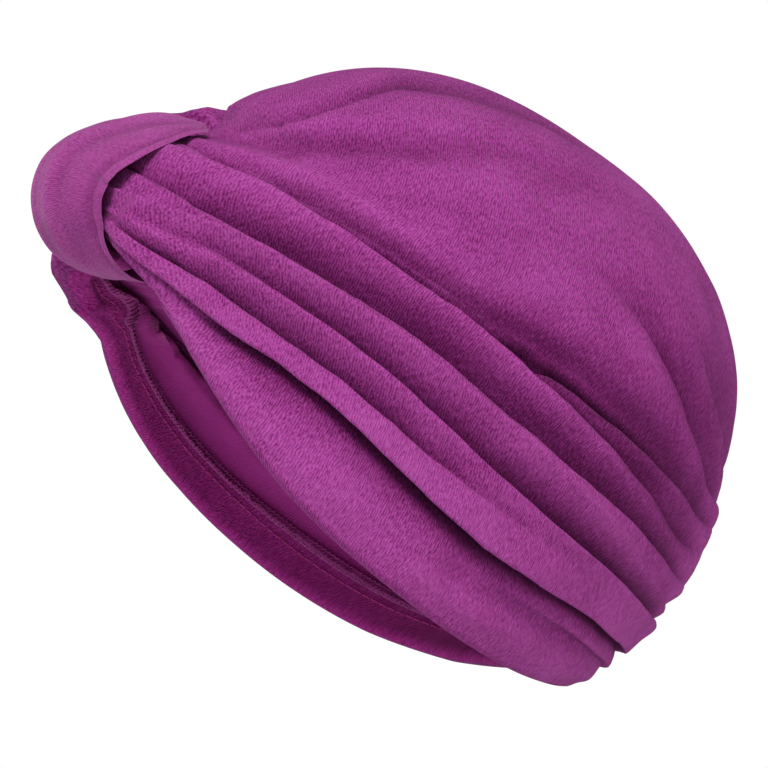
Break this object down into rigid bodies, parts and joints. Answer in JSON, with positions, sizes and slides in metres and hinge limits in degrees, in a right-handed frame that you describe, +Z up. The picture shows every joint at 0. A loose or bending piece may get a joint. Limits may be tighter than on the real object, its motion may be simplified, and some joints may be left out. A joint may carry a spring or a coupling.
{
  "type": "gathered terry turban cap",
  "caption": "Soft round cap of gathered terry cloth with a loop round the gathers at the front and a turned-in, stitched rim.",
  "frame": {"origin": "middle of the head opening, at the mean height of the rim", "axes": "+Z up towards the crown, -Y the wearer's front, where the loop is, +X the wearer's left"},
  "size_m": [0.1714, 0.2338, 0.1511],
  "materials": {
    "crown": "magenta terry velour, matte with a soft sheen",
    "front_loop": "the same magenta terry velour, pile outside",
    "hem_seam": "overlocked thread in a matching magenta"
  },
  "bodies": {
    "root": {"crown": "crown", "front_loop": "front_loop", "hem_seam": "hem_seam"}
  },
  "joints": []
}
